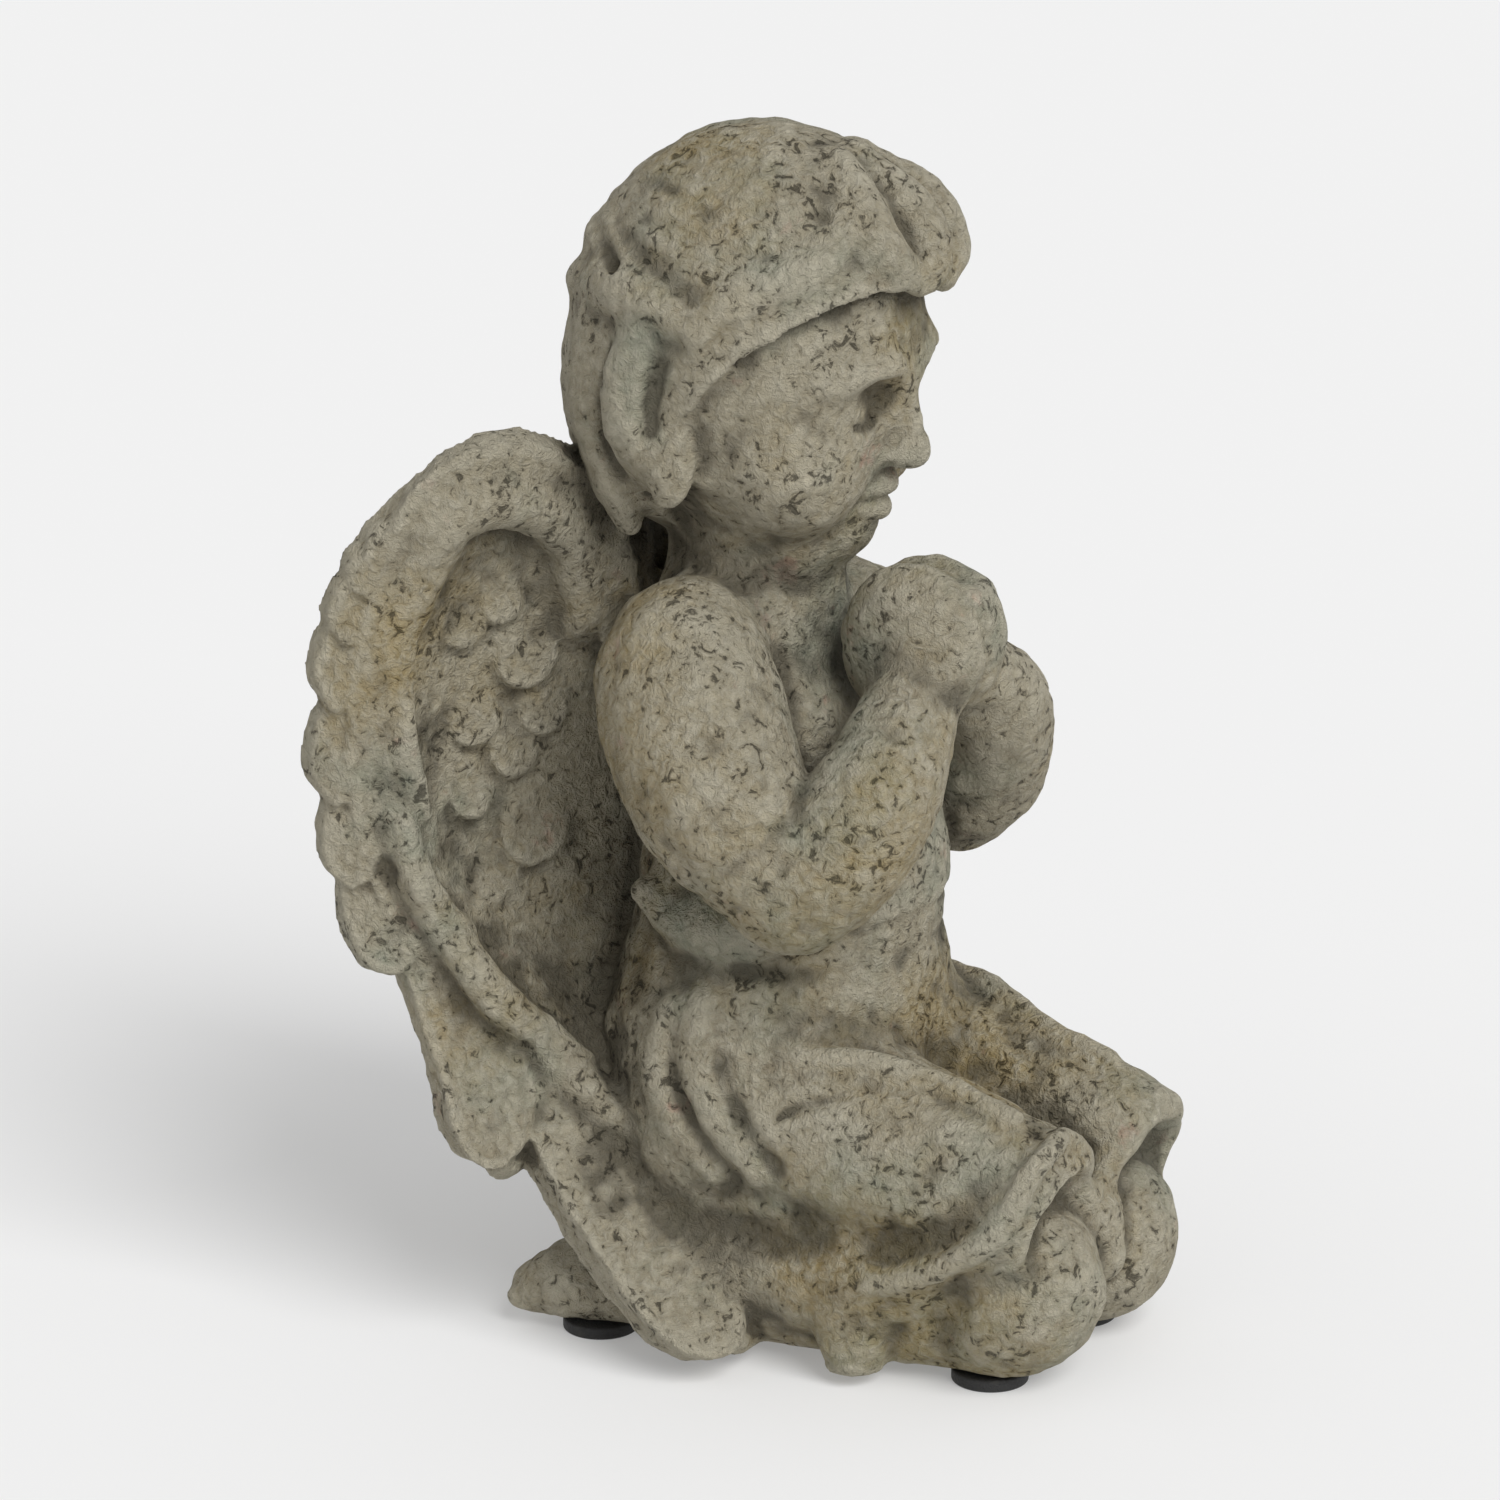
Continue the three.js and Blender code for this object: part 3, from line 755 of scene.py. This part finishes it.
# ---------- finishes ----------
def new_group(name, inputs, outputs):
    group = bpy.data.node_groups.new(name, "ShaderNodeTree")
    for title, kind, value in inputs:
        socket = group.interface.new_socket(title, in_out="INPUT", socket_type=kind)
        socket.default_value = value
    for title, kind in outputs:
        group.interface.new_socket(title, in_out="OUTPUT", socket_type=kind)
    return group, group.nodes.new("NodeGroupInput"), group.nodes.new("NodeGroupOutput")


def node(tree, kind, values=None, **settings):
    made = tree.nodes.new(kind)
    for key, value in settings.items():
        setattr(made, key, value)
    for key, value in (values or {}).items():
        made.inputs[key].default_value = value
    return made


def math_node(tree, operation, first, second, clamp=False):
    made = node(tree, "ShaderNodeMath", operation=operation, use_clamp=clamp)
    for socket, value in zip(made.inputs, (first, second)):
        if isinstance(value, (int, float)):
            socket.default_value = value
        else:
            tree.links.new(value, socket)
    return made.outputs[0]


def scaled(tree, value, low, high, to_low=0.0, to_high=1.0):
    made = node(tree, "ShaderNodeMapRange", {1: low, 2: high, 3: to_low, 4: to_high})
    tree.links.new(value, made.inputs[0])
    return made.outputs[0]


def mixed(tree, amount, one, two, blend="MIX"):
    made = node(tree, "ShaderNodeMix", data_type="RGBA", blend_type=blend)
    for index, value in ((0, amount), (6, one), (7, two)):
        if isinstance(value, bpy.types.NodeSocket):
            tree.links.new(value, made.inputs[index])
        else:
            made.inputs[index].default_value = value
    return made.outputs[2]


def colour(code):
    """A colour from its hexadecimal code, as linear values."""
    parts = [int(code[i : i + 2], 16) / 255 for i in (0, 2, 4)]
    return [c / 12.92 if c <= 0.04045 else ((c + 0.055) / 1.055) ** 2.4 for c in parts] + [1]


def make_grain_group():
    """The skin of cast material: masks of its pits and lumps, and a height in metres."""
    inputs = [("Pit size", "NodeSocketFloat", 2.0), ("Pit share", "NodeSocketFloat", 0.5),
              ("Depth", "NodeSocketFloat", 1.0), ("Sand", "NodeSocketFloat", 1.0)]
    outputs = [("Pits", "NodeSocketFloat"), ("Height", "NodeSocketFloat"), ("Raised grain", "NodeSocketFloat")]
    tree, given, result = new_group("casting_grain", inputs, outputs)
    place = node(tree, "ShaderNodeTexCoord").outputs["Object"]
    lumps = node(tree, "ShaderNodeTexNoise", {"Detail": 5.0, "Roughness": 0.62, "Distortion": 0.6})
    tree.links.new(place, lumps.inputs["Vector"])
    tree.links.new(math_node(tree, "DIVIDE", 1000.0, given.outputs["Pit size"]), lumps.inputs["Scale"])
    region = node(tree, "ShaderNodeTexNoise", {"Scale": 42.0, "Detail": 3.0, "Roughness": 0.6})
    tree.links.new(place, region.inputs["Vector"])
    share = math_node(tree, "MULTIPLY", scaled(tree, region.outputs["Fac"], 0.35, 0.65, 0.25, 1.0),
                      given.outputs["Pit share"])
    level = scaled(tree, share, 0.0, 1.0, 0.27, 0.46)
    pits = scaled(tree, math_node(tree, "SUBTRACT", level, lumps.outputs["Fac"]), -0.02, 0.05)
    sand = node(tree, "ShaderNodeTexNoise", {"Scale": 1300.0, "Detail": 3.0, "Roughness": 0.7})
    tree.links.new(place, sand.inputs["Vector"])
    relief = math_node(tree, "MULTIPLY", math_node(tree, "SUBTRACT", sand.outputs["Fac"], 0.5), 0.0018)
    relief = math_node(tree, "ADD", relief,
                       math_node(tree, "MULTIPLY", math_node(tree, "SUBTRACT", lumps.outputs["Fac"], 0.5), 0.0060))
    relief = math_node(tree, "MULTIPLY", relief, given.outputs["Sand"])
    sunk = math_node(tree, "MULTIPLY", math_node(tree, "MULTIPLY", pits, given.outputs["Depth"]), -0.0016)
    tree.links.new(pits, result.inputs["Pits"])
    tree.links.new(math_node(tree, "ADD", relief, sunk), result.inputs["Height"])
    tree.links.new(scaled(tree, lumps.outputs["Fac"], 0.40, 0.66), result.inputs["Raised grain"])
    return tree


def make_patch_group():
    """Large soft patches: a mask from a slow noise."""
    inputs = [("Size", "NodeSocketFloat", 60.0), ("Cover", "NodeSocketFloat", 0.5),
              ("Softness", "NodeSocketFloat", 0.2), ("Seed", "NodeSocketFloat", 0.0)]
    tree, given, result = new_group("weather_patches", inputs, [("Mask", "NodeSocketFloat")])
    place = node(tree, "ShaderNodeTexCoord").outputs["Object"]
    noise = node(tree, "ShaderNodeTexNoise", {"Detail": 6.0, "Roughness": 0.62}, noise_dimensions="4D")
    tree.links.new(place, noise.inputs["Vector"])
    tree.links.new(given.outputs["Seed"], noise.inputs["W"])
    tree.links.new(math_node(tree, "DIVIDE", 1000.0, given.outputs["Size"]), noise.inputs["Scale"])
    level = math_node(tree, "SUBTRACT", 1.0, given.outputs["Cover"])
    level = scaled(tree, level, 0.0, 1.0, 0.28, 0.72)
    above = math_node(tree, "SUBTRACT", noise.outputs["Fac"], level)
    mask = math_node(tree, "DIVIDE", above, given.outputs["Softness"], clamp=True)
    tree.links.new(mask, result.inputs["Mask"])
    return tree


def use_group(tree, group, values):
    made = node(tree, "ShaderNodeGroup", node_tree=group)
    for key, value in values.items():
        made.inputs[key].default_value = value
    return made.outputs


GRAIN = make_grain_group()
PATCHES = make_patch_group()


def new_material(name):
    material = bpy.data.materials.new(name)
    material.use_nodes = True
    return material, material.node_tree, material.node_tree.nodes["Principled BSDF"]


def make_stone():
    """Old garden cement: grey-green, with ochre and pink patches and dusty edges; painted shade darkens its creases,
    hollows and pits, and painted highlights pale its raised grain.
    """
    material, tree, shader = new_material("cast_stone")
    hollow = node(tree, "ShaderNodeAttribute", attribute_name="hollow").outputs["Fac"]
    crease = node(tree, "ShaderNodeAttribute", attribute_name="crease").outputs["Fac"]
    grain = use_group(tree, GRAIN, {"Pit size": 3.4, "Pit share": 0.85, "Depth": 0.8, "Sand": 1.0})
    green = use_group(tree, PATCHES, {"Size": 60.0, "Cover": 0.5, "Softness": 0.22, "Seed": 1.0})["Mask"]
    ochre = use_group(tree, PATCHES, {"Size": 75.0, "Cover": 0.5, "Softness": 0.16, "Seed": 2.0})["Mask"]
    brown = use_group(tree, PATCHES, {"Size": 22.0, "Cover": 0.35, "Softness": 0.14, "Seed": 5.0})["Mask"]
    pink = use_group(tree, PATCHES, {"Size": 16.0, "Cover": 0.18, "Softness": 0.08, "Seed": 3.0})["Mask"]
    dust = use_group(tree, PATCHES, {"Size": 14.0, "Cover": 0.55, "Softness": 0.2, "Seed": 4.0})["Mask"]
    tint = mixed(tree, green, colour("a89f88"), colour("8d9787"))
    tint = mixed(tree, math_node(tree, "MULTIPLY", ochre, 0.7), tint, colour("a08950"))
    tint = mixed(tree, math_node(tree, "MULTIPLY", brown, 0.45), tint, colour("75654a"))
    tint = mixed(tree, math_node(tree, "MULTIPLY", pink, 0.6), tint, colour("bd9684"))
    up = node(tree, "ShaderNodeSeparateXYZ")
    tree.links.new(node(tree, "ShaderNodeNewGeometry").outputs["Normal"], up.inputs[0])
    settled = math_node(tree, "MULTIPLY", scaled(tree, up.outputs["Z"], -0.1, 0.9), dust)
    settled = math_node(tree, "MULTIPLY", settled, grain["Raised grain"])
    tint = mixed(tree, math_node(tree, "MULTIPLY", settled, 0.6), tint, colour("c9c6b6"))
    edges = scaled(tree, hollow, 0.04, 0.24)
    tint = mixed(tree, math_node(tree, "MULTIPLY", edges, 0.55), tint, colour("c4bda8"))
    # painted highlights: the raised grain is made paler
    tint = mixed(tree, math_node(tree, "MULTIPLY", grain["Raised grain"], 0.45), tint, colour("cfc9b6"))
    # painted shade: the colour is darker in creases and hollows, where the surface is sunk
    painted_crease_shade = scaled(tree, math_node(tree, "ADD", crease, hollow), -0.05, -0.45)
    tint = mixed(tree, math_node(tree, "MULTIPLY", painted_crease_shade, 0.7), tint, colour("4a4538"))
    # painted shade: the pits are darkened
    tint = mixed(tree, math_node(tree, "MULTIPLY", grain["Pits"], 0.72), tint, colour("37342a"))
    tree.links.new(tint, shader.inputs["Base Color"])
    rough = scaled(tree, grain["Raised grain"], 0.0, 1.0, 0.86, 0.97)
    tree.links.new(rough, shader.inputs["Roughness"])
    bump = node(tree, "ShaderNodeBump", {"Strength": 1.0, "Distance": 1.0})
    tree.links.new(grain["Height"], bump.inputs["Height"])
    tree.links.new(bump.outputs["Normal"], shader.inputs["Normal"])
    shader.inputs["Specular IOR Level"].default_value = 0.25
    return material


def make_rubber():
    """The dark rubber of the pads, a little dusty."""
    material, tree, shader = new_material("rubber_pad")
    grain = use_group(tree, GRAIN, {"Pit size": 1.0, "Pit share": 0.3, "Depth": 0.15, "Sand": 0.12})
    dust = use_group(tree, PATCHES, {"Size": 8.0, "Cover": 0.45, "Softness": 0.3, "Seed": 7.0})["Mask"]
    tint = mixed(tree, math_node(tree, "MULTIPLY", dust, 0.4), colour("262626"), colour("5b5850"))
    tree.links.new(tint, shader.inputs["Base Color"])
    tree.links.new(scaled(tree, dust, 0.0, 1.0, 0.55, 0.85), shader.inputs["Roughness"])
    bump = node(tree, "ShaderNodeBump", {"Strength": 1.0, "Distance": 1.0})
    tree.links.new(grain["Height"], bump.inputs["Height"])
    tree.links.new(bump.outputs["Normal"], shader.inputs["Normal"])
    return material


# ---------- the pieces ----------
casting = make_casting()
casting.data.materials.append(make_stone())
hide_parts("putto")
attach(casting, "root")

PAD_EDGE = 0.8 * MM  # the rounded edge of a pad


def make_pad(name):
    low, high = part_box(name)
    middle, radius = (low + high) / 2, (high.x - low.x) / 2
    profile = [(0, low.z), (radius - PAD_EDGE, low.z)]
    for step in range(1, 5):
        turn = math.radians(90 - 22.5 * step)
        profile.append((radius - PAD_EDGE + PAD_EDGE * math.cos(turn), low.z + PAD_EDGE - PAD_EDGE * math.sin(turn)))
    for step in range(5):
        turn = math.radians(22.5 * step)
        profile.append((radius - PAD_EDGE + PAD_EDGE * math.cos(turn), high.z - PAD_EDGE + PAD_EDGE * math.sin(turn)))
    profile.append((0, high.z))
    around = 64
    vertices, faces = [(middle.x, middle.y, low.z)], []
    for r, z in profile[1:-1]:
        for i in range(around):
            turn = 2 * math.pi * i / around
            vertices.append((middle.x + r * math.cos(turn), middle.y + r * math.sin(turn), z))
    vertices.append((middle.x, middle.y, high.z))
    rings, top = len(profile) - 2, len(vertices) - 1
    for i in range(around):
        j = (i + 1) % around
        faces.append((0, 1 + j, 1 + i))
        for ring_number in range(rings - 1):
            first = 1 + ring_number * around
            faces.append((first + i, first + j, first + around + j, first + around + i))
        faces.append((top, top - around + i, top - around + j))
    mesh = bpy.data.meshes.new(name + "_turned")
    mesh.from_pydata(vertices, [], faces)
    mesh.shade_smooth()
    pad = add_object(name + "_turned", mesh)
    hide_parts(name)
    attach(pad, "root")
    return pad


RUBBER = make_rubber()
for pad_name in ("pad_knee_right", "pad_knee_left", "pad_foot_right", "pad_foot_left"):
    make_pad(pad_name).data.materials.append(RUBBER)

# ---------- studio ----------
FLOOR_REACH = 8.0


def make_floor():
    mesh = bpy.data.meshes.new("floor")
    r = FLOOR_REACH
    mesh.from_pydata([(-r, -r, 0), (r, -r, 0), (r, r, 0), (-r, r, 0)], [], [(0, 1, 2, 3)])
    floor = add_object("floor", mesh)
    material, tree, shader = new_material("pale_floor")
    shader.inputs["Base Color"].default_value = (0.62, 0.62, 0.62, 1)
    shader.inputs["Emission Color"].default_value = (1, 1, 1, 1)
    shader.inputs["Emission Strength"].default_value = 0.24  # keeps the shadow pale
    shader.inputs["Roughness"].default_value = 0.9
    mesh.materials.append(material)


def make_sun():
    """One broad soft light from the upper right."""
    data = bpy.data.lights.new("key", "SUN")
    data.energy = 2.5
    data.angle = math.radians(38)
    light = bpy.data.objects.new("key", data)
    bpy.context.scene.collection.objects.link(light)
    light.rotation_mode = "QUATERNION"
    light.rotation_quaternion = Vector((0.4, 0.8, -0.8)).to_track_quat("-Z", "Y")


make_floor()
make_sun()
world = bpy.data.worlds.new("studio")
world.use_nodes = True
world.node_tree.nodes["Background"].inputs["Color"].default_value = (1, 1, 1, 1)
world.node_tree.nodes["Background"].inputs["Strength"].default_value = 0.5
bpy.context.scene.world = world
bpy.context.scene.view_settings.view_transform = "Standard"
